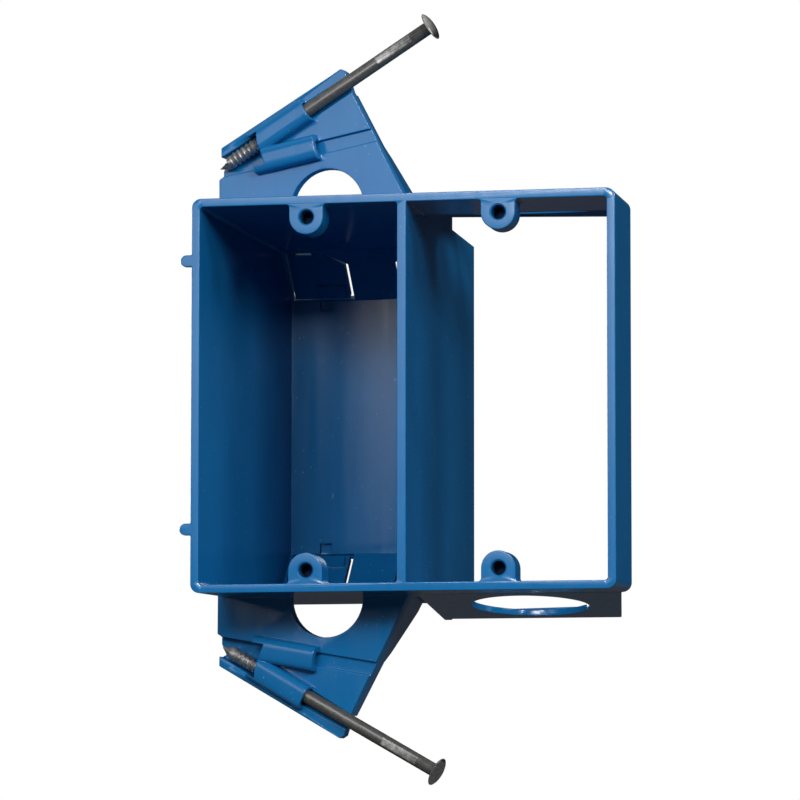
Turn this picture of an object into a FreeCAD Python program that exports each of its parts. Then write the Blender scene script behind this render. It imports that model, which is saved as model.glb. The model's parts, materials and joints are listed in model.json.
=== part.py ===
# Two-gang dual-voltage switch box for new work, nailed to the stud.
# One moulding: a deep closed compartment on the left, an open frame on the right, nailing ears
# above and below; two captive nails slide in the ears' guides.
# Frame: origin at the centre of the device screw pattern on the front rim,
# X to the right, Y into the wall, Z up. Millimetres and degrees.
import FreeCAD
import Part
import os
import Sketcher
from FreeCAD import Placement, Rotation, Vector

os.makedirs("parts", exist_ok=True)
doc = FreeCAD.newDocument("switch_box")

SIZES = {
    # rim and walls
    "rim_half_width": 50.8,
    "rim_half_height": 46.75,
    "wall": 2.0,
    "divider": 2.2,
    "draft": 1.0,
    "box_depth": 90.0,
    "frame_depth": 22.2,
    "corner_round": 2.2,
    "inner_round": 0.8,
    # device screw bosses
    "screw_x": 23.02,
    "screw_drop": 5.08,
    "screw_radius": 1.7,
    "screw_bevel": 0.35,
    "boss_radius": 4.1,
    "boss_depth": 6.7,
    "screw_depth": 5.5,
    # stop tabs on the stud side of the rim
    "tab_reach": 2.7,
    "tab_radius": 1.4,
    "tab_depth": 1.5,
    "tab_upper": 31.95,
    "tab_lower": -31.7,
    # clamp webs across the back corners, and the flaps in them measured from the compartment's middle
    "clamp_drop": 14.6,
    "clamp_thick": 2.0,
    "web_bury": 0.5,
    "web_root": 2.3,
    "flap_out": 21.7,
    "flap_in": 5.95,
    "flap_top": 15.1,
    "slot_fine": 0.5,
    "slot_wide": 0.9,
    "slot_turn": 11.3,
    "hinge_slot_out": 19.0,
    "hinge_slot_in": 14.9,
    "hinge_end": 12.0,
    "rib_out": 14.7,
    "rib_in": 7.8,
    "rib_low": 1.6,
    "rib_high": 3.4,
    "rib_stand": 0.8,
    "notch_out": 14.8,
    "notch_in": 11.8,
    "notch_high": 2.6,
    "notch_deep": 1.2,
    # conduit shelves behind the open frame
    "shelf_step": 0.2,
    "shelf_flare": 6.66,
    "shelf_thick": 1.6,
    "shelf_length": 36.3,
    "shelf_inset": 2.5,
    "shelf_taper": 6.1,
    "shelf_web_past": 1.5,
    "lip_thick": 2.0,
    "lip_low_left": 0.3,
    "lip_low_right": 1.4,
    "conduit_back": 18.8,
    "conduit_radius": 14.1,
    # nailing ears, a plate leaning back towards the stud side
    # lengths in from its stud side and up from the rim
    "ear_overhang": 0.2,
    "ear_front": 27.3,
    "ear_tilt": 9.1,
    "ear_thick": 2.8,
    "ear_side_up": 10.6,
    "ear_notch_in": 1.2,
    "ear_notch_up": 13.3,
    "finger_in": 0.45,
    "finger_low_up": 13.6,
    "finger_high_up": 16.0,
    "peak_in": 31.3,
    "peak_up": 33.65,
    "peak_turn_in": 32.45,
    "peak_turn_up": 32.9,
    "shoulder_in": 34.0,
    "shoulder_up": 28.1,
    "ear_root_in": 0.6,
    "ear_root_low": 1.4,
    "arch_in": 27.8,
    "arch_up": 0.15,
    "arch_radius": 9.4,
    "floor_thick": 1.7,
    "recess_deep": 2.7,
    "recess_margin": 2.0,
    "recess_side_up": 8.75,
    "recess_side_fall": 0.5,
    "face_low_in": 13.0,
    "face_low_up": 11.15,
    "face_bend_in": 10.8,
    "face_bend_up": 16.7,
    "face_high_in": 10.6,
    "face_high_up": 19.1,
    "edge_web_wide": 2.25,
    "edge_web_back": 38.3,
    "edge_web_flat_up": 3.0,
    "edge_web_knee": 32.1,
    "edge_web_knee_up": 13.0,
    "edge_web_foot": 29.6,
    "edge_web_foot_up": 15.5,
    # nail guides, distances along their lines from the point where the nail's line crosses the ear's face
    "guide_in": 6.8,
    "guide_sink": 0.19,
    "guide_tilt": 11.86,
    "guide_up": 14.62,
    "guide_rise": 29.2,
    "guide_outer": 3.05,
    "guide_bore": 2.2,
    "guide_start": 3.2,
    "guide_mouth": 19.2,
    "spare_up": 11.35,
    "spare_rise": 10.0,
    "spare_mouth": 19.8,
    "spare_bore": 1.65,
    "channel_deep": 1.0,
    "channel_inside": 1.5,
    # captive nails, lengths along the guide's line
    "nail_radius": 1.6,
    "nail_head_radius": 3.5,
    "nail_head_thick": 0.9,
    "nail_head_bevel": 0.25,
    "nail_neck": 1.0,
    "nail_flare": 0.7,
    "nail_length": 64.6,
    "nail_point": 4.0,
    "ring_radius": 1.7,
    "ring_length": 14.0,
    "nail_pivot": 8.0,
    "upper_tip": 7.8,
    "lower_tip": 6.4,
    "upper_lean": 0.2,
    "lower_lean": -0.85,
    # how far a cutting outline runs past the material
    "past": 1.0,
}

sheet = doc.addObject("Spreadsheet::Sheet", "Sizes")
for row, (alias, amount) in enumerate(SIZES.items(), 1):
    sheet.set(f"A{row}", alias)
    sheet.set(f"B{row}", str(amount))
    sheet.setAlias(f"B{row}", alias)
doc.recompute()


def size(text):
    """A name of the sheet written as an expression reads it: plain words become sheet cells."""
    for alias in sorted(SIZES, key=len, reverse=True):
        text = text.replace("{" + alias + "}", "Sizes." + alias)
    return text


def body_named(name):
    """An empty body."""
    return doc.addObject("PartDesign::Body", name)


def sketch_on(body, name, role, base=("0", "0", "0"), axis=(0, 0, 1), turn="0"):
    """An empty sketch on an origin plane of the body, moved off it and turned about a local axis."""
    sketch = body.newObject("Sketcher::SketchObject", name)
    plane = next(item for item in body.Origin.OriginFeatures if item.Role == role)
    sketch.AttachmentSupport = (plane, [""])
    sketch.MapMode = "FlatFace"
    sketch.AttachmentOffset = Placement(Vector(0, 0, 0), Rotation(Vector(*axis), 0))
    for letter, amount in zip("xyz", base):
        sketch.setExpression(f"AttachmentOffset.Base.{letter}", size(amount))
    sketch.setExpression("AttachmentOffset.Rotation.Angle", size(turn))
    return sketch


# The numbers by which a sketch knows its origin's geometry and the points of an edge
ORIGIN = -1
START_POINT = 1
END_POINT = 2
CENTRE_POINT = 3


def bind_point(sketch, edge, corner, point):
    """Hold one corner of an edge at the two expressions."""
    for kind, text in zip(("DistanceX", "DistanceY"), point):
        value = float(sketch.evalExpression(text))
        index = sketch.addConstraint(Sketcher.Constraint(kind, ORIGIN, START_POINT, edge, corner, value))
        sketch.setExpression(f"Constraints[{index}]", text)


def add_outline(sketch, corners):
    """A closed outline of straight edges with every corner bound to the sheet."""
    corners = [tuple(size(text) for text in corner) for corner in corners]
    points = [Vector(*(float(sketch.evalExpression(text)) for text in corner), 0) for corner in corners]
    first = sketch.GeometryCount
    count = len(corners)
    for step in range(count):
        sketch.addGeometry(Part.LineSegment(points[step], points[(step + 1) % count]), False)
    for step in range(count):
        after = first + (step + 1) % count
        sketch.addConstraint(Sketcher.Constraint("Coincident", first + step, END_POINT, after, START_POINT))
    for step in range(count):
        bind_point(sketch, first + step, START_POINT, corners[step])


def add_circle(sketch, centre, radius):
    """A full circle with its centre and radius bound to the sheet."""
    centre = tuple(size(text) for text in centre)
    radius = size(radius)
    middle = Vector(*(float(sketch.evalExpression(text)) for text in centre), 0)
    across = float(sketch.evalExpression(radius))
    edge = sketch.addGeometry(Part.Circle(middle, Vector(0, 0, 1), across), False)
    bind_point(sketch, edge, CENTRE_POINT, centre)
    index = sketch.addConstraint(Sketcher.Constraint("Radius", edge, across))
    sketch.setExpression(f"Constraints[{index}]", radius)


def rectangle(left, low, right, high):
    """The four corners of an upright rectangle."""
    return [(left, low), (right, low), (right, high), (left, high)]


def both_halves(corners):
    """The outline and its mirror image below the middle."""
    return [corners, [(across, f"-({up})") for across, up in corners]]


def extrude(kind, body, name, sketch, length, backwards=False):
    """A pad or pocket of the sketch."""
    feature = body.newObject(f"PartDesign::{kind}", name)
    feature.Profile = sketch
    feature.Reversed = backwards
    feature.setExpression("Length", size(length))
    doc.recompute()
    return feature


NEAR = 0.001


def edges_where(feature, test):
    """The names of the feature's edges that pass the test."""
    return [f"Edge{number}" for number, edge in enumerate(feature.Shape.Edges, 1) if test(edge)]


def round_back_from(name, feature, across, half, radius):
    """A fillet along the shell's edges that run back from the rim's plane at these corners."""
    corners = [Vector(left, 0, level) for left in across for level in (-half, half)]

    def starts_there(edge):
        ends = [vertex.Point for vertex in edge.Vertexes]
        touches = any(end.distanceToPoint(corner) < NEAR for end in ends for corner in corners)
        return touches and edge.BoundBox.YLength > SIZES["boss_depth"] / 2

    fillet = shell.newObject("PartDesign::Fillet", name)
    fillet.Base = (feature, edges_where(feature, starts_there))
    fillet.setExpression("Radius", size(radius))
    doc.recompute()
    return fillet


# Shell: rim frame, right opening, deep compartment and its cavity, all drafted alike
shell = body_named("shell")
inner_half = "{rim_half_height} - {wall}"


def drafted(kind, name, left, right, half, depth, right_draft="{draft}"):
    """A box from the rim's plane back to a depth, narrowed by the draft, the right side by its own."""
    block = shell.newObject(f"PartDesign::{kind}Wedge", name)
    lean = "%s * tan({draft})" % depth
    for field, text in {
            "Ymax": depth,
            "Xmin": left, "X2min": f"{left} + {lean}",
            "Xmax": right, "X2max": f"{right} - {depth} * tan({right_draft})",
            "Zmin": f"-({half})", "Z2min": f"-({half} - {lean})",
            "Zmax": half, "Z2max": f"{half} - {lean}"}.items():
        block.setExpression(field, size(text))
    block.Ymin = 0
    doc.recompute()
    return block


OUTER_X = SIZES["rim_half_width"]
OUTER_Z = SIZES["rim_half_height"]
INNER_X = OUTER_X - SIZES["wall"]
INNER_Z = OUTER_Z - SIZES["wall"]
frame_block = drafted("Additive", "frame_block", "-{rim_half_width}", "{rim_half_width}", "{rim_half_height}",
                      "{frame_depth}", "0")
round_back_from("frame_corners", frame_block, [OUTER_X], OUTER_Z, "{corner_round}")
opening_cut = drafted("Subtractive", "opening_cut", "0", "{rim_half_width} - {wall}", inner_half,
                      "{frame_depth}")
round_back_from("opening_corners", opening_cut, [INNER_X], INNER_Z, "{inner_round}")
deep_block = drafted("Additive", "deep_block", "-{rim_half_width}", "{divider} / 2", "{rim_half_height}",
                     "{box_depth}")
round_back_from("deep_corners", deep_block, [-OUTER_X], OUTER_Z, "{corner_round}")
cavity_cut = drafted("Subtractive", "cavity_cut", "{wall} - {rim_half_width}", "-{divider} / 2", inner_half,
                     "({box_depth} - {wall})")
round_back_from("cavity_corners", cavity_cut, [-INNER_X, -SIZES["divider"] / 2], INNER_Z, "{inner_round}")

# Bosses for the device screws
SCREW_UP = "({rim_half_height} - {screw_drop})"
BOSSES = [(f"{side}{{screw_x}}", f"{level}{SCREW_UP}") for side in ("-", "") for level in ("-", "")]
boss_stem = sketch_on(shell, "boss_stems", "XZ_Plane")
for across in ("-{screw_x}", "{screw_x}"):
    for corners in both_halves(rectangle(
            f"{across} - {{boss_radius}}", SCREW_UP, f"{across} + {{boss_radius}}",
            "{rim_half_height} - {wall} / 2")):
        add_outline(boss_stem, corners)
boss_stem_pad = extrude("Pad", shell, "boss_stem_pad", boss_stem, "{boss_depth}", True)
boss_end = sketch_on(shell, "boss_ends", "XZ_Plane")
for centre in BOSSES:
    add_circle(boss_end, centre, "{boss_radius}")
boss_end_pad = extrude("Pad", shell, "boss_end_pad", boss_end, "{boss_depth}", True)
BOSS_SIDES = [
    side * SIZES["screw_x"] + hand * SIZES["boss_radius"] for side in (-1, 1) for hand in (-1, 1)]
round_back_from("boss_roots", boss_end_pad, BOSS_SIDES, INNER_Z, "{inner_round}")
screw = sketch_on(shell, "screw_holes", "XZ_Plane")
for centre in BOSSES:
    add_circle(screw, centre, "{screw_radius}")
screw_cut = extrude("Pocket", shell, "screw_cut", screw, "{screw_depth}")
screw_bevel = shell.newObject("PartDesign::Chamfer", "screw_bevels")
screw_bevel.Base = (screw_cut, edges_where(
    screw_cut, lambda edge: edge.isClosed() and edge.CenterOfMass.y < NEAR))
screw_bevel.setExpression("Size", "Sizes.screw_bevel")
doc.recompute()

# Stop tabs on the stud side
tab_stem = sketch_on(shell, "tab_stems", "XZ_Plane")
tab_end = sketch_on(shell, "tab_ends", "XZ_Plane")
tab_tip = "-{rim_half_width} - {tab_reach} + {tab_radius}"
for level in ("{tab_upper}", "{tab_lower}"):
    add_outline(tab_stem, rectangle(
        tab_tip, f"{level} - {{tab_radius}}", "{wall} / 2 - {rim_half_width}", f"{level} + {{tab_radius}}"))
    add_circle(tab_end, (tab_tip, level), "{tab_radius}")
extrude("Pad", shell, "tab_stem_pad", tab_stem, "{tab_depth}", True)
extrude("Pad", shell, "tab_end_pad", tab_end, "{tab_depth}", True)

# Clamp webs across the back corners, the corner outside them left open between the side walls
BACK_INNER = "({box_depth} - {wall})"
BACK_LEAN = "{box_depth} * tan({draft})"
CAVITY_LEFT = f"({{wall}} - {{rim_half_width}} + {BACK_LEAN})"
CAVITY_RIGHT = f"(-{{divider}} / 2 - {BACK_LEAN})"
CAVITY_WIDE = f"({CAVITY_RIGHT} - {CAVITY_LEFT})"
CLAMP_LOW = "({rim_half_height} - {clamp_drop})"
WEB_SUM = f"({BACK_INNER} + {CLAMP_LOW})"
WEB_OUT = f"({WEB_SUM} + {{clamp_thick}} * sqrt(2))"
WALL_MIDDLE = "({rim_half_height} - {web_root})"
web = sketch_on(shell, "clamp_web_profile", "YZ_Plane", ("0", "0", f"{CAVITY_LEFT} - {{web_bury}}"))
for corners in both_halves([
        (f"{WEB_SUM} - {WALL_MIDDLE}", WALL_MIDDLE),
        (f"{WEB_OUT} - {WALL_MIDDLE}", WALL_MIDDLE),
        ("{box_depth} - {wall} / 2", f"{WEB_OUT} - {{box_depth}} + {{wall}} / 2"),
        ("{box_depth} - {wall} / 2", f"{WEB_SUM} - {{box_depth}} + {{wall}} / 2")]):
    add_outline(web, corners)
extrude("Pad", shell, "clamp_web_pad", web, f"{CAVITY_WIDE} + 2 * {{web_bury}}")
corner = sketch_on(shell, "corner_recess_profile", "YZ_Plane", ("0", "0", CAVITY_LEFT))
for corners in both_halves([
        (f"{WEB_OUT} - {{rim_half_height}} - {{past}}", "{rim_half_height} + {past}"),
        ("{box_depth} + {past}", "{rim_half_height} + {past}"),
        ("{box_depth} + {past}", f"{WEB_OUT} - {{box_depth}} - {{past}}")]):
    add_outline(corner, corners)
extrude("Pocket", shell, "corner_recess", corner, CAVITY_WIDE, True)

# Knock-in cable clamps: slotted flaps in the webs, each with a lifting rib and a notch below it
FLAP = [
    ("{flap_out}", "{flap_top}"),
    ("{flap_out}", "-{slot_fine} / 5"),
    ("{flap_in}", "-{slot_fine} / 5"),
    ("{flap_in}", "{slot_turn}"),
    ("{hinge_end}", "{flap_top}"),
    ("{hinge_end}", "{flap_top} - {slot_fine}"),
    ("{flap_in} + {slot_wide}", "{slot_turn} - {slot_fine}"),
    ("{flap_in} + {slot_wide}", "{slot_fine}"),
    ("{flap_out} - {slot_fine}", "{slot_fine}"),
    ("{flap_out} - {slot_fine}", "{flap_top}"),
]
HINGE_SLOT = rectangle("{hinge_slot_out}", "{flap_top} - {slot_wide}", "{hinge_slot_in}", "{flap_top}")
RIB = rectangle("{rib_out}", "{rib_low}", "{rib_in}", "{rib_low} + {rib_high}")
NOTCH = rectangle("{notch_out}", f"{CLAMP_LOW} - {{notch_high}}", "{notch_in}", CLAMP_LOW)
CAVITY_MIDDLE = "(({wall} - {rim_half_width} - {divider} / 2) / 2)"


def from_middle(corners, hand, side):
    """Corners measured from the compartment's middle, for the left or right flap and either end."""
    return [(f"{CAVITY_MIDDLE} + {hand} * ({out})", f"{side} * ({along})") for out, along in corners]


CORNER_TURN = 45
for word, side in (("upper", 1), ("lower", -1)):
    web_base = ("0", f"{side} * {CLAMP_LOW}", f"-{BACK_INNER}")
    web_turn = f"{side} * {CORNER_TURN}"
    slots = sketch_on(shell, f"{word}_flap_slots", "XZ_Plane", web_base, (1, 0, 0), web_turn)
    ribs = sketch_on(shell, f"{word}_flap_ribs", "XZ_Plane", web_base, (1, 0, 0), web_turn)
    for hand in (-1, 1):
        add_outline(slots, from_middle(FLAP, hand, side))
        add_outline(slots, from_middle(HINGE_SLOT, hand, side))
        add_outline(ribs, from_middle(RIB, hand, side))
    extrude("Pocket", shell, f"{word}_slot_cut", slots, "2 * {clamp_thick}")
    extrude("Pad", shell, f"{word}_rib_pad", ribs, "{rib_stand}")
notch = sketch_on(shell, "notch_outline", "XZ_Plane", ("0", "0", f"-{BACK_INNER}"))
for hand in (-1, 1):
    for side in (1, -1):
        add_outline(notch, from_middle(NOTCH, hand, side))
extrude("Pocket", shell, "notch_cut", notch, "{notch_deep}")

# Conduit shelves behind the open frame, joined to the deep compartment by a web
SHELF_FRONT = "({frame_depth} - {wall} / 3)"
SHELF_BACK = "({frame_depth} + {shelf_length})"
WEB_BACK = "({frame_depth} + {shelf_length} + {shelf_web_past})"


def side_face(along, inward="0"):
    """The compartment's right outer face at this depth, or a plane inside it."""
    return f"{{divider}} / 2 - {along} * tan({{draft}}) - {inward}"


def shelf_height(along, drop="0"):
    """The height of the shelf's outer face at this depth, less a drop."""
    root = "{rim_half_height} - {frame_depth} * tan({draft}) - {shelf_step}"
    return f"{root} + ({along} - {{frame_depth}}) * tan({{shelf_flare}}) - {drop}"


WEB_FOOT = "({rim_half_height} - {box_depth} * tan({draft}) - {wall} / 2)"
WEB_TALL = f"({shelf_height(WEB_BACK)} - {WEB_FOOT} + {{past}})"
for word, foot in (("upper", WEB_FOOT), ("lower", f"-{WEB_FOOT} - {WEB_TALL}")):
    plan = sketch_on(shell, f"{word}_shelf_web_plan", "XY_Plane", ("0", "0", foot))
    add_outline(plan, [
        (side_face(SHELF_FRONT), SHELF_FRONT),
        (side_face(WEB_BACK), WEB_BACK),
        (side_face(WEB_BACK, "{wall}"), WEB_BACK),
        (side_face(SHELF_FRONT, "{wall}"), SHELF_FRONT)])
    extrude("Pad", shell, f"{word}_shelf_web", plan, WEB_TALL)
over = sketch_on(shell, "shelf_web_trim", "YZ_Plane", ("0", "0", "-{divider} - {wall}"))
for corners in both_halves([
        (SHELF_FRONT, shelf_height(SHELF_FRONT)),
        (f"{WEB_BACK} + {{past}}", shelf_height(f"({WEB_BACK} + {{past}})")),
        (f"{WEB_BACK} + {{past}}", f"{shelf_height(WEB_BACK)} + 2 * {{past}}"),
        (SHELF_FRONT, f"{shelf_height(WEB_BACK)} + 2 * {{past}}")]):
    add_outline(over, corners)
extrude("Pocket", shell, "shelf_web_trimmed", over, "2 * {divider} + {wall}", True)

shelf = sketch_on(shell, "shelf_profile", "YZ_Plane", ("0", "0", "-{wall} / 2"))
for corners in both_halves([
        (SHELF_FRONT, shelf_height(SHELF_FRONT)),
        (SHELF_BACK, shelf_height(SHELF_BACK)),
        (SHELF_BACK, shelf_height(SHELF_BACK, "{shelf_thick}")),
        (SHELF_FRONT, shelf_height(SHELF_FRONT, "{shelf_thick}"))]):
    add_outline(shelf, corners)
SHELF_RIGHT = "({rim_half_width} - {shelf_inset})"
extrude("Pad", shell, "shelf_pad", shelf, f"{SHELF_RIGHT} + {{wall}} / 2")
SHELF_UNDER = f"({shelf_height(SHELF_BACK, '{shelf_thick}')})"
lip = sketch_on(shell, "shelf_lip_outline", "XZ_Plane", ("0", "0", f"{{lip_thick}} - {SHELF_BACK}"))
for corners in both_halves([
        ("-{wall} / 2", f"{SHELF_UNDER} + {{shelf_thick}} / 2"),
        (SHELF_RIGHT, f"{SHELF_UNDER} + {{shelf_thick}} / 2"),
        (SHELF_RIGHT, f"{SHELF_UNDER} - {{lip_low_right}}"),
        ("-{wall} / 2", f"{SHELF_UNDER} - {{lip_low_left}}")]):
    add_outline(lip, corners)
extrude("Pad", shell, "shelf_lip_pad", lip, "{lip_thick}", True)
SHELF_TOP = f"({shelf_height(SHELF_BACK)} + {{past}})"
taper = sketch_on(shell, "shelf_taper_plan", "XY_Plane", ("0", "0", f"-{SHELF_TOP}"))
add_outline(taper, [
    (SHELF_RIGHT, "{frame_depth}"),
    (f"{SHELF_RIGHT} - {{shelf_taper}}", SHELF_BACK),
    (f"{SHELF_RIGHT} - {{shelf_taper}}", f"{SHELF_BACK} + {{past}}"),
    (f"{SHELF_RIGHT} + {{past}}", f"{SHELF_BACK} + {{past}}"),
    (f"{SHELF_RIGHT} + {{past}}", "{frame_depth}")])
extrude("Pocket", shell, "shelf_taper_cut", taper, f"2 * {SHELF_TOP}", True)
CONDUIT_Y = "({frame_depth} + {conduit_back})"
for word, side in (("upper", 1), ("lower", -1)):
    face = ("0", CONDUIT_Y, f"{side} * ({shelf_height(CONDUIT_Y)})")
    lean = f"{side} * {{shelf_flare}}"
    conduit = sketch_on(shell, f"{word}_conduit_hole", "XY_Plane", face, (1, 0, 0), lean)
    add_circle(conduit, ("{screw_x}", "0"), "{conduit_radius}")
    extrude("Pocket", shell, f"{word}_conduit_cut", conduit, "2 * {shelf_thick}", side < 0)

# Upper ear, drawn on its leaning front plane
ear = body_named("upper_ear")
EAR_LEFT = "(-{rim_half_width} - {ear_overhang})"
EAR_ROOT = "-{ear_root_low}"


def on_ear(points):
    """Points given by their distance in from the stud side and up from the rim, on the leaning plane."""
    return [(f"({across}) / cos({{ear_tilt}})", f"{{rim_half_height}} + {up}") for across, up in points]


def ear_sketch(name, back="0"):
    """An empty sketch on the ear's front plane or on a plane parallel to it and further back."""
    base = (
        f"{EAR_LEFT} + ({back}) * sin({{ear_tilt}})", "0",
        f"-{{ear_front}} - ({back}) * cos({{ear_tilt}})")
    return sketch_on(ear, name, "XZ_Plane", base, (0, 1, 0), "-{ear_tilt}")


ROOT_IN = f"(-{EAR_LEFT} - {{divider}} / 2 - {{ear_root_in}})"
SIDE_STEP = ("0", "{ear_side_up}")
NOTCH_CORNER = ("{ear_notch_in}", "{ear_notch_up}")
SHOULDER = ("{shoulder_in}", "{shoulder_up}")
plate = ear_sketch("ear_outline")
add_outline(plate, on_ear([
    ("0", EAR_ROOT),
    SIDE_STEP,
    NOTCH_CORNER,
    ("{finger_in}", "{finger_low_up}"),
    ("{finger_in}", "{finger_high_up}"),
    ("{peak_in}", "{peak_up}"),
    ("{peak_turn_in}", "{peak_turn_up}"),
    SHOULDER,
    (ROOT_IN, EAR_ROOT)]))
extrude("Pad", ear, "ear_plate", plate, "{ear_thick}", True)
floor = ear_sketch("recess_floor_outline")
add_outline(floor, on_ear([
    ("0", "{ear_side_up} - {recess_margin}"),
    SIDE_STEP,
    NOTCH_CORNER,
    ("{finger_in}", "{finger_high_up}"),
    ("{face_high_in} + 2 * {recess_margin}", "{face_high_up} + 2 * {recess_margin}"),
    ("{face_low_in} + {recess_margin}", "{face_low_up} - {recess_margin}")]))
extrude("Pad", ear, "recess_floor", floor, "{recess_deep} + {floor_thick}", True)

# Web along the ear's inner edge, running back and cut down to a slope
WEB_START = f"({{ear_front}} - {ROOT_IN} * tan({{ear_tilt}}) + {{ear_thick}})"
edge_web = sketch_on(ear, "edge_web_outline", "XZ_Plane", ("0", "0", f"-{WEB_START}"))
EDGE_ROOT = f"({EAR_LEFT} + {ROOT_IN})"
EDGE_TOP = f"({EAR_LEFT} + {{shoulder_in}})"
add_outline(edge_web, [
    (EDGE_ROOT, f"{{rim_half_height}} + {EAR_ROOT}"),
    (EDGE_TOP, "{rim_half_height} + {shoulder_up}"),
    (f"{EDGE_TOP} - {{edge_web_wide}}", "{rim_half_height} + {shoulder_up}"),
    (f"{EDGE_ROOT} - {{edge_web_wide}}", f"{{rim_half_height}} + {EAR_ROOT}")])
extrude("Pad", ear, "edge_web_pad", edge_web, f"{{edge_web_back}} - {WEB_START}", True)
slope = sketch_on(ear, "edge_web_slope", "YZ_Plane", ("0", "0", EAR_LEFT))
add_outline(slope, [
    ("{edge_web_back}", "{rim_half_height} + {edge_web_flat_up}"),
    ("{edge_web_knee}", "{rim_half_height} + {edge_web_knee_up}"),
    ("{edge_web_foot}", "{rim_half_height} + {edge_web_foot_up}"),
    ("{edge_web_foot}", "{rim_half_height} + {peak_up}"),
    ("{edge_web_back} + {past}", "{rim_half_height} + {peak_up}"),
    ("{edge_web_back} + {past}", "{rim_half_height} + {edge_web_flat_up}")])
extrude("Pocket", ear, "edge_web_sloped", slope, f"-{EAR_LEFT}", True)

# Guides: tubes about the nail's line and about the spare line, which stand out of the plate
GUIDE_BASE = (
    f"{EAR_LEFT} + {{guide_in}}", "0",
    "-({ear_front} - {guide_in} * tan({ear_tilt}) + {guide_sink})")
NAIL_LINE = ("({rim_half_height} + {guide_up})", "{guide_rise}")
SPARE_LINE = ("({rim_half_height} + {spare_up})", "{spare_rise}")


def beside(line, distance, radius="0"):
    """A point of the guide plane: this far along a rising line and this far to its side."""
    height, rise = line
    across = f"({distance}) * cos({rise}) - ({radius}) * sin({rise})"
    up = f"{height} + ({distance}) * sin({rise}) + ({radius}) * cos({rise})"
    return across, up


def turned(body, name, kind, line, profile, side=1):
    """A solid of revolution about a line of the guide plane, or about its mirror image below."""
    sketch = sketch_on(body, f"{name}_profile", "XZ_Plane", GUIDE_BASE, (0, 1, 0), "-{guide_tilt}")
    corners = [beside(line, distance, radius) for distance, radius in profile]
    add_outline(sketch, [(across, f"{side} * ({up})") for across, up in corners])
    ends = []
    for distance, radius in (profile[0], profile[-1]):
        across, up = beside(line, distance)
        ends.append((size(across), size(f"{side} * ({up})")))
    points = [Vector(*(float(sketch.evalExpression(text)) for text in end), 0) for end in ends]
    axis = sketch.addGeometry(Part.LineSegment(*points), True)
    bind_point(sketch, axis, START_POINT, ends[0])
    bind_point(sketch, axis, END_POINT, ends[1])
    feature = body.newObject(f"PartDesign::{kind}", name)
    feature.Profile = sketch
    feature.ReferenceAxis = (sketch, ["Axis0"])
    feature.Angle = 360
    doc.recompute()
    return feature


def rod(start, end, radius):
    """The half profile of a plain cylinder about a line."""
    return [(start, "0"), (start, radius), (end, radius), (end, "0")]


turned(ear, "guide_hood", "Revolution", NAIL_LINE, rod("{guide_start}", "{guide_mouth}", "{guide_outer}"))
turned(ear, "spare_hood", "Revolution", SPARE_LINE, rod("{guide_start}", "{spare_mouth}", "{guide_outer}"))

# Recess that leaves the nail's end half bare and gives the guides their common end face
recess = ear_sketch("recess_outline", "-{guide_outer} - {past}")
add_outline(recess, on_ear([
    ("-2 * {past}", "{recess_side_up} - {recess_side_fall}"),
    ("0", "{recess_side_up}"),
    ("{face_low_in}", "{face_low_up}"),
    ("{face_bend_in}", "{face_bend_up}"),
    ("{face_high_in}", "{face_high_up}"),
    ("{finger_in}", "{finger_low_up}"),
    ("-2 * {past}", "{finger_low_up} - {past}")]))
extrude("Pocket", ear, "recess_cut", recess, "{recess_deep} + {guide_outer} + {past}")
arch = ear_sketch("arch_outline")
add_circle(arch, on_ear([("{arch_in}", "{arch_up}")])[0], "{arch_radius}")
extrude("Pocket", ear, "arch_cut", arch, "2 * {ear_thick}")
turned(ear, "guide_bored", "Groove", NAIL_LINE, rod("-{guide_mouth}", "2 * {guide_mouth}", "{guide_bore}"))
turned(ear, "spare_bored", "Groove", SPARE_LINE, rod("{wall}", "2 * {spare_mouth}", "{spare_bore}"))

# Flat channel in the plate from the spare guide's mouth to the plate's inner edge
CHANNEL_IN = "({guide_in} + ({spare_mouth} - {channel_inside}) * cos({spare_rise}) * cos({guide_tilt}))"
CHANNEL_UP = "({spare_up} + ({spare_mouth} - {channel_inside}) * sin({spare_rise}))"
CHANNEL_END = f"({CHANNEL_IN} + {{spare_mouth}})"
CHANNEL_CLIMB = f"({{spare_mouth}} * tan({{spare_rise}}))"
channel = ear_sketch("channel_outline")
add_outline(channel, on_ear([
    (CHANNEL_IN, f"{CHANNEL_UP} - {{spare_bore}}"),
    (CHANNEL_END, f"{CHANNEL_UP} + {CHANNEL_CLIMB} - {{spare_bore}}"),
    (CHANNEL_END, f"{CHANNEL_UP} + {CHANNEL_CLIMB} + {{spare_bore}}"),
    (CHANNEL_IN, f"{CHANNEL_UP} + {{spare_bore}}")]))
extrude("Pocket", ear, "channel_cut", channel, "{channel_deep}")

# The whole moulding: shell, upper ear and its mirror image
lower_ear = doc.addObject("Part::Mirroring", "lower_ear")
lower_ear.Source = ear
lower_ear.Normal = (0, 0, 1)
moulding = doc.addObject("Part::MultiFuse", "moulding")
moulding.Shapes = [shell, ear, lower_ear]
moulding.Label = "box_body"
doc.recompute()


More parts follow.
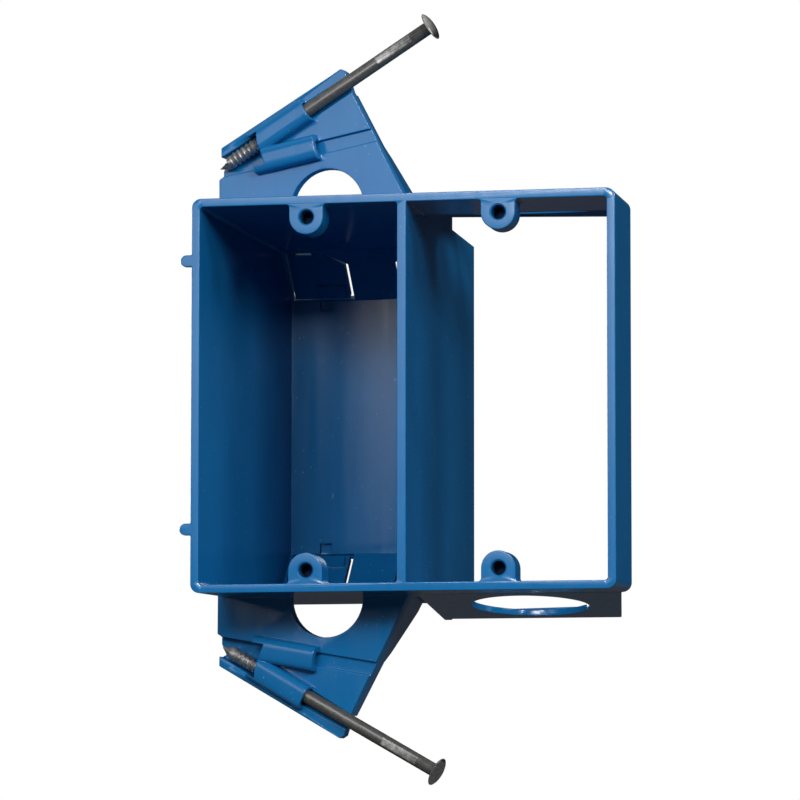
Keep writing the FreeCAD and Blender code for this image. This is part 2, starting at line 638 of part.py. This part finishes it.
# Captive nails: point, ring shank within its crests, plain shank, neck and flat head
def nail_profile(tip):
    """The half profile of a nail whose tip stands this far before the start of the guide's line."""
    point_end = f"({{nail_point}} - {tip})"
    ring_end = f"({point_end} + {{ring_length}})"
    head_top = f"({{nail_length}} - {tip})"
    head_foot = f"({head_top} - {{nail_head_thick}})"
    return [
        (f"-{tip}", "0"),
        (point_end, "{ring_radius}"),
        (ring_end, "{ring_radius}"),
        (f"{ring_end} + {{ring_radius}} - {{nail_radius}}", "{nail_radius}"),
        (f"{head_foot} - {{nail_neck}}", "{nail_radius}"),
        (head_foot, "{nail_radius} + {nail_flare}"),
        (head_foot, "{nail_head_radius}"),
        (f"{head_top} - {{nail_head_bevel}}", "{nail_head_radius}"),
        (head_top, "{nail_head_radius} - {nail_head_bevel}"),
        (head_top, "0"),
    ]


nails = []
for word, label, side in (("upper", "top", 1), ("lower", "bottom", -1)):
    height, rise = NAIL_LINE
    leaning = f"({rise} + {{{word}_lean}})"
    lifted = f"({height} - {{nail_pivot}} * (sin({rise}) - sin({leaning})))"
    nail = body_named(f"{word}_nail")
    nail.Label = f"{label}_nail"
    profile = nail_profile(f"{{{word}_tip}}")
    turned(nail, f"{word}_nail_turned", "Revolution", (lifted, leaning), profile, side)
    nails.append(nail)

# Every object is checked before the files are written
for item in doc.Objects:
    if {"Invalid", "Error"} & set(item.State):
        raise RuntimeError(f"{item.Name}: {item.State}")
for item in [moulding] + nails:
    if not item.Shape.isValid() or len(item.Shape.Solids) != 1:
        raise RuntimeError(f"{item.Label}: valid {item.Shape.isValid()}, solids {len(item.Shape.Solids)}")
    item.Shape.exportStep(f"parts/{item.Label}.step")
    span = item.Shape.BoundBox
    print(item.Label, round(item.Shape.Volume), [round(value, 1) for value in (
        span.XMin, span.XMax, span.YMin, span.YMax, span.ZMin, span.ZMax)])
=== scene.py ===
import bpy
import json
from math import cos, radians, sin
from mathutils import Matrix, Vector


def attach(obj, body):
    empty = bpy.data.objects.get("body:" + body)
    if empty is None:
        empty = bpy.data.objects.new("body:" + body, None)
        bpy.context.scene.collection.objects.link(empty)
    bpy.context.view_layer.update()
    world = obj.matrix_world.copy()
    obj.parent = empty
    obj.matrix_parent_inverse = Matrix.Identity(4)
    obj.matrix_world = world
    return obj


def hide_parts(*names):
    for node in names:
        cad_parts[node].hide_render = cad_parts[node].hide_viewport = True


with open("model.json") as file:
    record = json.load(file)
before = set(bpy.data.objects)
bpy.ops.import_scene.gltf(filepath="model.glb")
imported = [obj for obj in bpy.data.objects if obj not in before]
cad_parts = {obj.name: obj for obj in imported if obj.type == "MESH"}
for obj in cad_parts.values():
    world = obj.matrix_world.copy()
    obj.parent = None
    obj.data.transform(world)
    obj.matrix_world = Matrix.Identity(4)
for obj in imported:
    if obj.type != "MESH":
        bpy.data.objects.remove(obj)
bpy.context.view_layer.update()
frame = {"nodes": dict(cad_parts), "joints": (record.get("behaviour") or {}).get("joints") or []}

bpy.ops.object.select_all(action="DESELECT")

# The viewpoint. The box is seen from its right and from a little below, from about 1.2 m,
# through a long lens. The origin is the middle of the device screw pattern on the rim.
VIEW_ROUND = radians(12.0954)
VIEW_UP = radians(-5.4441)
VIEW_ROLL = radians(0.0419)
VIEW_AWAY = 1.17785
LENS_PIXELS = 5035.4
PICTURE = 800
ORIGIN_SEEN_AT = (401.2495, 391.0931)
SENSOR = 36.0

back = Vector((sin(VIEW_ROUND) * cos(VIEW_UP), -cos(VIEW_ROUND) * cos(VIEW_UP), sin(VIEW_UP)))
level = Vector((0, 0, 1)).cross(back).normalized()
upright = back.cross(level)
right = level * cos(VIEW_ROLL) + upright * sin(VIEW_ROLL)
upward = upright * cos(VIEW_ROLL) - level * sin(VIEW_ROLL)
aside = (ORIGIN_SEEN_AT[0] - PICTURE / 2) / LENS_PIXELS * VIEW_AWAY
below = (ORIGIN_SEEN_AT[1] - PICTURE / 2) / LENS_PIXELS * VIEW_AWAY
lens = bpy.data.cameras.new("viewpoint")
lens.sensor_width = SENSOR
lens.lens = LENS_PIXELS / PICTURE * SENSOR
lens.clip_start = 0.05
lens.clip_end = 30
camera = bpy.data.objects.new("viewpoint", lens)
bpy.context.scene.collection.objects.link(camera)
spot = back * VIEW_AWAY - right * aside + upward * below
turn = Matrix((right, upward, back)).transposed()
camera.matrix_world = Matrix.Translation(spot) @ turn.to_4x4()
bpy.context.scene.camera = camera

# The box body. One injection moulding in blue thermoplastic: rim, deep compartment, open frame,
# clamps, conduit shelves and the two nailing ears. The mould leaves every edge slightly rounded.
EDGE_ROUND = 0.00024
SHARP = radians(50)
FLAT = radians(0.3)
ANY_SHAPE = radians(180)
MOULDING_SMOOTH = radians(40)

cast = frame["nodes"]["box_body"]
moulding = bpy.data.objects.new("box_moulding", cast.data.copy())
bpy.context.scene.collection.objects.link(moulding)
moulding.data.materials.clear()
bpy.context.view_layer.objects.active = moulding
moulding.select_set(True)
bpy.ops.object.mode_set(mode="EDIT")
bpy.ops.mesh.select_all(action="SELECT")
bpy.ops.mesh.customdata_custom_splitnormals_clear()
bpy.ops.mesh.remove_doubles(threshold=0.000002)
bpy.ops.mesh.tris_convert_to_quads(face_threshold=FLAT, shape_threshold=ANY_SHAPE)
bpy.ops.object.mode_set(mode="OBJECT")

# the nail guides are round tubes with flattened fronts: each corner on a tube's front rises to a
# squarer section. The lower pair of lines mirrors the upper one.
TUBE = 0.00305
TUBE_NEAR = 0.00003
TUBE_ENDS = (0.002, 0.021)
SQUARE = 4
GUIDE_TILT = radians(11.86)
GUIDE_FROM = (-0.0442, 0.0264)
GUIDE_LINES = ((0.06137, radians(29.2)), (0.0581, radians(10)))
outward = Vector((-sin(GUIDE_TILT), -cos(GUIDE_TILT), 0))
raised = set()
for height, rise in GUIDE_LINES:
    for side in (1, -1):
        onward = Vector((cos(rise) * cos(GUIDE_TILT), -cos(rise) * sin(GUIDE_TILT), side * sin(rise)))
        start = Vector((*GUIDE_FROM, side * height))
        for corner in moulding.data.vertices:
            reach = corner.co - start
            sideways = reach.dot(onward.cross(outward))
            front = reach.dot(outward)
            on_tube = abs(Vector((sideways, front)).length - TUBE) < TUBE_NEAR
            if (on_tube and front > 0 and corner.index not in raised
                    and TUBE_ENDS[0] < reach.dot(onward) < TUBE_ENDS[1]):
                crown = max(0, 1 - abs(sideways / TUBE) ** SQUARE) ** (1 / SQUARE) * TUBE
                corner.co += outward * (crown - front)
                raised.add(corner.index)

bpy.ops.object.mode_set(mode="EDIT")
bpy.ops.mesh.select_all(action="DESELECT")
bpy.ops.mesh.select_mode(type="EDGE")
bpy.ops.mesh.edges_select_sharp(sharpness=SHARP)
bpy.ops.mesh.bevel(offset=EDGE_ROUND, segments=2, profile=0.5, clamp_overlap=False, loop_slide=False,
                   affect="EDGES")
bpy.ops.object.mode_set(mode="OBJECT")
bpy.ops.object.shade_smooth_by_angle(angle=MOULDING_SMOOTH)
soften = moulding.modifiers.new("even_shading", "WEIGHTED_NORMAL")
soften.keep_sharp = True
bpy.ops.object.modifier_apply(modifier=soften.name)
moulding.select_set(False)

# the ends of the blind screw holes are made matt and get painted shade: a dark colour stands for the
# shade deep in the holes
SCREW_AT = (0.02302, 0.04167)
SHADED_HOLE_REACH = 0.0018
SHADED_HOLE_DEPTH = 0.005
hole_shade_and_matt = moulding.data.attributes.new("hole_shade_and_matt", "FLOAT", "POINT")
for corner in moulding.data.vertices:
    beside = Vector((abs(corner.co.x) - SCREW_AT[0], abs(corner.co.z) - SCREW_AT[1])).length
    if beside < SHADED_HOLE_REACH and corner.co.y > SHADED_HOLE_DEPTH:
        hole_shade_and_matt.data[corner.index].value = 1

plastic = bpy.data.materials.new("blue_moulded_plastic")
plastic.use_nodes = True
nodes = plastic.node_tree.nodes
links = plastic.node_tree.links
skin = nodes["Principled BSDF"]
place = nodes.new("ShaderNodeTexCoord").outputs["Object"]
skin.inputs["IOR"].default_value = 1.5


def cloudy(tree, where, scale, detail=2.0, roughness=0.5):
    """A noise texture at this many features to the metre."""
    noise = tree.nodes.new("ShaderNodeTexNoise")
    noise.inputs["Scale"].default_value = scale
    noise.inputs["Detail"].default_value = detail
    noise.inputs["Roughness"].default_value = roughness
    tree.links.new(where, noise.inputs["Vector"])
    return noise.outputs["Fac"]


def shades(tree, amount, stops):
    """A colour ramp: grey levels or colours at their places."""
    ramp = tree.nodes.new("ShaderNodeValToRGB")
    while len(ramp.color_ramp.elements) < len(stops):
        ramp.color_ramp.elements.new(0.5)
    for element, (position, colour) in zip(ramp.color_ramp.elements, stops):
        if not isinstance(colour, tuple):
            colour = (colour, colour, colour)
        element.position = position
        element.color = (*colour, 1)
    tree.links.new(amount, ramp.inputs["Fac"])
    return ramp.outputs["Color"]


def layered(tree, amount, under, over):
    """One colour over another, by an amount. The upper one may be the same all over."""
    mix = tree.nodes.new("ShaderNodeMix")
    mix.data_type = "RGBA"
    tree.links.new(amount, mix.inputs["Factor"])
    tree.links.new(under, mix.inputs["A"])
    if isinstance(over, tuple):
        mix.inputs["B"].default_value = (*over, 1)
    else:
        tree.links.new(over, mix.inputs["B"])
    return mix.outputs["Result"]


BLUE = (0.0065, 0.145, 0.375)
BLUE_DEEP = (0.005, 0.125, 0.335)
PALE = (0.1, 0.27, 0.46)
# painted shade for the ends of the blind screw holes
PAINTED_HOLE_SHADE = (0.004, 0.02, 0.06)
MATT = (1, 1, 1)
MOTTLES = 55
STREAKS = 420
SPECKS = 1300
PEEL = 900
PEEL_DEEP = 0.00004
PEEL_FAINT = 0.15
DRAWN_OUT = (1, 0.6, 0.06)
MOTTLED = [(0.3, BLUE_DEEP), (0.7, BLUE)]
POLISHED = [(0.3, 0.13), (0.7, 0.2)]
SPECKLED = [(0.755, 0), (0.79, 1)]
tree = plastic.node_tree
mottle = cloudy(tree, place, MOTTLES, detail=4)
tint = shades(tree, mottle, MOTTLED)

# draw marks run up and down the walls, where the part left the mould
stretch = nodes.new("ShaderNodeMapping")
stretch.inputs["Scale"].default_value = DRAWN_OUT
links.new(place, stretch.inputs["Vector"])
streaks = cloudy(tree, stretch.outputs["Vector"], STREAKS, detail=3, roughness=0.6)
polish = shades(tree, streaks, POLISHED)

# a few pale specks where the box has rubbed in its carton
grains = cloudy(tree, place, SPECKS, detail=1)
speckle = shades(tree, grains, SPECKLED)
specked = layered(tree, speckle, tint, PALE)
# painted shade: the ends of the blind screw holes are darkened, and they are also made matt
hole_shade_and_matt_mask = nodes.new("ShaderNodeAttribute")
hole_shade_and_matt_mask.attribute_name = "hole_shade_and_matt"
links.new(layered(tree, hole_shade_and_matt_mask.outputs["Fac"], specked, PAINTED_HOLE_SHADE), skin.inputs["Base Color"])
links.new(layered(tree, hole_shade_and_matt_mask.outputs["Fac"], polish, MATT), skin.inputs["Roughness"])

# the skin is very slightly uneven, like the peel of a fruit
peel = cloudy(tree, place, PEEL)
bump = nodes.new("ShaderNodeBump")
bump.inputs["Strength"].default_value = PEEL_FAINT
bump.inputs["Distance"].default_value = PEEL_DEEP
links.new(peel, bump.inputs["Height"])
links.new(bump.outputs["Normal"], skin.inputs["Normal"])
moulding.data.materials.append(plastic)
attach(moulding, "box")
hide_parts("box_body")

# The captive nails. Each is steel wire with a cut diamond point, rolled rings near the point and a
# slightly domed head forged on the other end. The heading machine's grips leave two bright flats.
SHANK = 0.0016
CREST = 0.0017
ROOT = 0.0014
HEAD = 0.0035
HEAD_THICK = 0.0009
NECK = 0.001
NECK_STEPS = ((0.4, 0.2), (0, 0.6))
POINT = 0.004
CUT_WIDE = SHANK * 1.05
RINGS = 10
RING_PITCH = 0.00132
RING_STEPS = ((0.1, ROOT), (0.45, ROOT), (0.8, CREST), (0.95, CREST))
HEAD_STEPS = ((0, 0.97), (0.06, 1), (0.12, 1), (0.2, 0.975), (0.36, 0.91), (0.55, 0.8), (0.74, 0.64),
              (0.88, 0.46), (0.97, 0.26), (1, 0.08))
GRIP_BACK = (0.0163, 0.0062)
GRIP_FLAT = 0.00138
GRIP_LEAD = 0.0003
ROUND = 48
NAIL_SMOOTH = radians(35)


def grow(top, radius, was):
    """Draw the open end of the wire on to a new height and radius."""
    bpy.ops.mesh.extrude_region_move(TRANSFORM_OT_translate={"value": (0, 0, top - was[0])})
    bpy.ops.transform.resize(value=(radius / was[1], radius / was[1], 1), center_override=(0, 0, top))
    return top, radius


def along(node, axis):
    """The node's length along a direction, and its foremost corner."""
    corners = sorted(frame["nodes"][node].data.vertices, key=lambda corner: corner.co.dot(axis))
    return corners[-1].co.dot(axis) - corners[0].co.dot(axis), corners[-1].co.copy()


drives = {joint["child"]: Vector(joint["axis"]).normalized() for joint in frame["joints"]}
LENGTH = along("top_nail", drives["top_nail"])[0]
GRIP_FROM, GRIP_TO = (LENGTH - back_by for back_by in GRIP_BACK)
RINGS_TOP = POINT + (RINGS + 0.5) * RING_PITCH

bpy.ops.mesh.primitive_circle_add(vertices=ROUND, radius=SHANK, fill_type="NGON", location=(0, 0, 0))
wire = bpy.context.object
wire.name = "top_nail_steel"
bpy.ops.object.mode_set(mode="EDIT")
bpy.ops.mesh.select_all(action="SELECT")
end = (0, SHANK)
end = grow(POINT, SHANK, end)
for ring in range(RINGS):
    start = POINT + ring * RING_PITCH
    for share, radius in RING_STEPS:
        end = grow(start + share * RING_PITCH, radius, end)
end = grow(POINT + (RINGS + 0.2) * RING_PITCH, SHANK, end)
NECK_FROM = LENGTH - HEAD_THICK - NECK
for height in (GRIP_FROM - GRIP_LEAD, GRIP_FROM, GRIP_TO, GRIP_TO + GRIP_LEAD, NECK_FROM):
    end = grow(height, SHANK, end)
for short, flare in NECK_STEPS:
    end = grow(LENGTH - HEAD_THICK - NECK * short, SHANK + NECK * flare, end)
for lift, share in HEAD_STEPS:
    end = grow(LENGTH - HEAD_THICK * (1 - lift), HEAD * share, end)
bpy.ops.mesh.select_all(action="SELECT")
bpy.ops.mesh.normals_make_consistent(inside=False)
# the diamond point: four slanting cuts
for quarter in range(4):
    round_to = radians(45 + 90 * quarter)
    slant = Vector((cos(round_to) * POINT, sin(round_to) * POINT, -CUT_WIDE)).normalized()
    bpy.ops.mesh.select_all(action="SELECT")
    bpy.ops.mesh.bisect(plane_co=(0, 0, 0), plane_no=slant, use_fill=True, clear_outer=True)
bpy.ops.object.mode_set(mode="OBJECT")
# the grips' two flats
for corner in wire.data.vertices:
    if GRIP_FROM - GRIP_LEAD / 2 < corner.co.z < GRIP_TO + GRIP_LEAD / 2:
        corner.co.x = max(-GRIP_FLAT, min(GRIP_FLAT, corner.co.x))
bpy.ops.object.shade_smooth_by_angle(angle=NAIL_SMOOTH)

# the wire is dark from rolling, scuffed on its flats, brighter at the rings and brightest on the head
STEEL_GRAIN = 900
DULL = [(0.35, (0.085, 0.085, 0.083)), (0.7, (0.135, 0.135, 0.13))]
SCUFFED = [(0.3, (0.17, 0.17, 0.165)), (0.65, (0.42, 0.42, 0.41))]
WORKED = [(0.3, 0.32), (0.65, (0.66, 0.66, 0.65))]
BRIGHT = [(0.3, (0.45, 0.45, 0.44)), (0.65, (0.85, 0.85, 0.83))]
METAL = [(0, 0.5), (1, 1)]
WIRE_ROUGH = [(0.3, 0.36), (0.7, 0.5)]
HEAD_ROUGH = [(0.3, 0.14), (0.7, 0.2)]
GRIP_FADE = 0.0002
FLAT_FADE = 0.00006
RING_FADE = 0.0006
HEAD_FADE = 0.00005
STRUCK_FROM = LENGTH - HEAD_THICK * 0.75
PAST_END = 0.001

steel = bpy.data.materials.new("dark_rolled_steel")
steel.use_nodes = True
tree = steel.node_tree
nodes = tree.nodes
links = tree.links
skin = nodes["Principled BSDF"]
held = nodes.new("ShaderNodeAttribute")
held.attribute_name = "wire_place"
split = nodes.new("ShaderNodeSeparateXYZ")
links.new(held.outputs["Vector"], split.inputs["Vector"])
steady = cloudy(tree, held.outputs["Vector"], STEEL_GRAIN, detail=4, roughness=0.6)


def reckon(kind, *amounts):
    """One step of arithmetic, in the tree that is being made."""
    step = tree.nodes.new("ShaderNodeMath")
    step.operation = kind
    for amount, socket in zip(amounts, step.inputs):
        if isinstance(amount, float):
            socket.default_value = amount
        else:
            tree.links.new(amount, socket)
    return step.outputs[0]


def inside(value, start, stop, fade):
    """1 between two places along the wire, 0 outside them."""
    masks = []
    for edge, way in ((start, 1), (stop, -1)):
        ease = nodes.new("ShaderNodeMapRange")
        ease.inputs["From Min"].default_value = edge - way * fade
        ease.inputs["From Max"].default_value = edge + way * fade
        links.new(value, ease.inputs["Value"])
        masks.append(ease.outputs["Result"])
    return reckon("MULTIPLY", *masks)


lengthways = split.outputs["Z"]
flank = reckon("ABSOLUTE", split.outputs["X"])
on_flat = inside(flank, GRIP_FLAT - FLAT_FADE, SHANK, FLAT_FADE)
gripped = reckon("MULTIPLY", inside(lengthways, GRIP_FROM, GRIP_TO, GRIP_FADE), on_flat)
rolled = inside(lengthways, -PAST_END, RINGS_TOP, RING_FADE)
struck = inside(lengthways, STRUCK_FROM, LENGTH + PAST_END, HEAD_FADE)
coat = layered(tree, gripped, shades(tree, steady, DULL), shades(tree, steady, SCUFFED))
coat = layered(tree, rolled, coat, shades(tree, steady, WORKED))
coat = layered(tree, struck, coat, shades(tree, steady, BRIGHT))
links.new(coat, skin.inputs["Base Color"])
bare = reckon("MAXIMUM", struck, rolled)
links.new(shades(tree, bare, METAL), skin.inputs["Metallic"])
uneven = shades(tree, steady, WIRE_ROUGH)
smooth = shades(tree, steady, HEAD_ROUGH)
links.new(layered(tree, struck, uneven, smooth), skin.inputs["Roughness"])
wire.data.materials.append(steel)
local = wire.data.attributes.new("wire_place", "FLOAT_VECTOR", "POINT")
for corner in wire.data.vertices:
    local.data[corner.index].vector = corner.co

other = bpy.data.objects.new("bottom_nail_steel", wire.data.copy())
bpy.context.scene.collection.objects.link(other)
for nail, node in ((wire, "top_nail"), (other, "bottom_nail")):
    drive = drives[node]
    tip = along(node, drive)[1]
    pose = Matrix.Translation(tip) @ (-drive).to_track_quat("Z", "Y").to_matrix().to_4x4()
    nail.data.transform(pose)
    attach(nail, node)
    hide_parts(node)

# The studio: a pale floor and a white surround as the camera sees them, both dimmer to other rays,
# glossy ones among them. Two soft lamps stand on the right with a strip beyond them, panels that the
# glossy faces mirror stand in front and on the left, and a soft lamp stands behind.
bpy.ops.object.select_all(action="DESELECT")
FLOOR_LEVEL = -0.16
FLOOR_WIDE = 12
FLOOR_PALE = (0.75, 0.75, 0.75, 1)
FLOOR_DIM = (0.08, 0.08, 0.08, 1)
FLOOR_GLOW = 0.4
FLOOR_MATT = 0.9
FLOOR_SHEEN = 0.1
bpy.ops.mesh.primitive_plane_add(size=FLOOR_WIDE, location=(0, 0, FLOOR_LEVEL))
floor = bpy.context.object
floor.name = "floor"
paint = bpy.data.materials.new("pale_floor")
paint.use_nodes = True
tree = paint.node_tree
matte = tree.nodes["Principled BSDF"]
matte.inputs["Base Color"].default_value = FLOOR_PALE
matte.inputs["Roughness"].default_value = FLOOR_MATT
matte.inputs["Specular IOR Level"].default_value = FLOOR_SHEEN
dim = tree.nodes.new("ShaderNodeBsdfDiffuse")
dim.inputs["Color"].default_value = FLOOR_DIM
seen = tree.nodes.new("ShaderNodeLightPath").outputs["Is Camera Ray"]
choose = tree.nodes.new("ShaderNodeMixShader")
tree.links.new(seen, choose.inputs[0])
tree.links.new(dim.outputs[0], choose.inputs[1])
glow = tree.nodes.new("ShaderNodeEmission")
glow.inputs["Strength"].default_value = FLOOR_GLOW
lifted = tree.nodes.new("ShaderNodeAddShader")
tree.links.new(matte.outputs[0], lifted.inputs[0])
tree.links.new(glow.outputs[0], lifted.inputs[1])
tree.links.new(lifted.outputs[0], choose.inputs[2])
tree.links.new(choose.outputs[0], tree.nodes["Material Output"].inputs["Surface"])
floor.data.materials.append(paint)

world = bpy.data.worlds.new("studio")
bpy.context.scene.world = world
world.use_nodes = True
tree = world.node_tree
sky = tree.nodes["Background"]
heading = tree.nodes.new("ShaderNodeSeparateXYZ")
tree.links.new(tree.nodes.new("ShaderNodeTexCoord").outputs["Generated"], heading.inputs["Vector"])


def eased(value, start, stop):
    """From 0 at the start to 1 at the stop, smoothly."""
    ease = tree.nodes.new("ShaderNodeMapRange")
    ease.interpolation_type = "SMOOTHSTEP"
    ease.inputs["From Min"].default_value = start
    ease.inputs["From Max"].default_value = stop
    tree.links.new(value, ease.inputs["Value"])
    return ease.outputs["Result"]


ABOVE_FROM = 0.25
ABOVE_FULL = 0.85
ABOVE_BRIGHT = 0.5
AROUND_DIM = 0.012
above = eased(heading.outputs["Z"], ABOVE_FROM, ABOVE_FULL)
soft = reckon("ADD", reckon("MULTIPLY", above, ABOVE_BRIGHT), AROUND_DIM)
path = tree.nodes.new("ShaderNodeLightPath")
shown = reckon("MAXIMUM", path.outputs["Is Camera Ray"], path.outputs["Is Transmission Ray"])
level_now = tree.nodes.new("ShaderNodeMix")
level_now.data_type = "FLOAT"
tree.links.new(shown, level_now.inputs["Factor"])
tree.links.new(soft, level_now.inputs["A"])
level_now.inputs["B"].default_value = 1.0
tree.links.new(level_now.outputs["Result"], sky.inputs["Strength"])
sky.inputs["Color"].default_value = (1, 1, 1, 1)


LAMP_AWAY = 1.5


def lamp(name, round_to, up, wide, tall, watts):
    """A rectangular soft lamp that faces the box, placed by two angles and hidden from the camera."""
    light = bpy.data.lights.new(name, "AREA")
    light.shape = "RECTANGLE"
    light.size = wide
    light.size_y = tall
    light.energy = watts
    holder = bpy.data.objects.new(name, light)
    bpy.context.scene.collection.objects.link(holder)
    round_to = radians(round_to)
    up = radians(up)
    where = Vector((sin(round_to) * cos(up), -cos(round_to) * cos(up), sin(up)))
    holder.location = where * LAMP_AWAY
    holder.rotation_mode = "QUATERNION"
    holder.rotation_quaternion = where.to_track_quat("Z", "Y")
    holder.visible_camera = False


lamp("key_lamp", 36, 18, 0.37, 0.33, 11.6)
lamp("side_lamp", 62, 28, 0.4, 0.4, 5.8)
lamp("right_strip", 104, 14, 0.3, 1.3, 1.3)
lamp("front_panel", 0.5, 15.5, 0.38, 0.2, 6.6)
lamp("left_panel", -11, 21, 0.2, 0.18, 2.9)
lamp("low_left_panel", -21, 11, 1.2, 0.34, 2.7)
lamp("back_lamp", -140, 12, 0.8, 0.5, 8)

bpy.context.scene.view_settings.view_transform = "Standard"
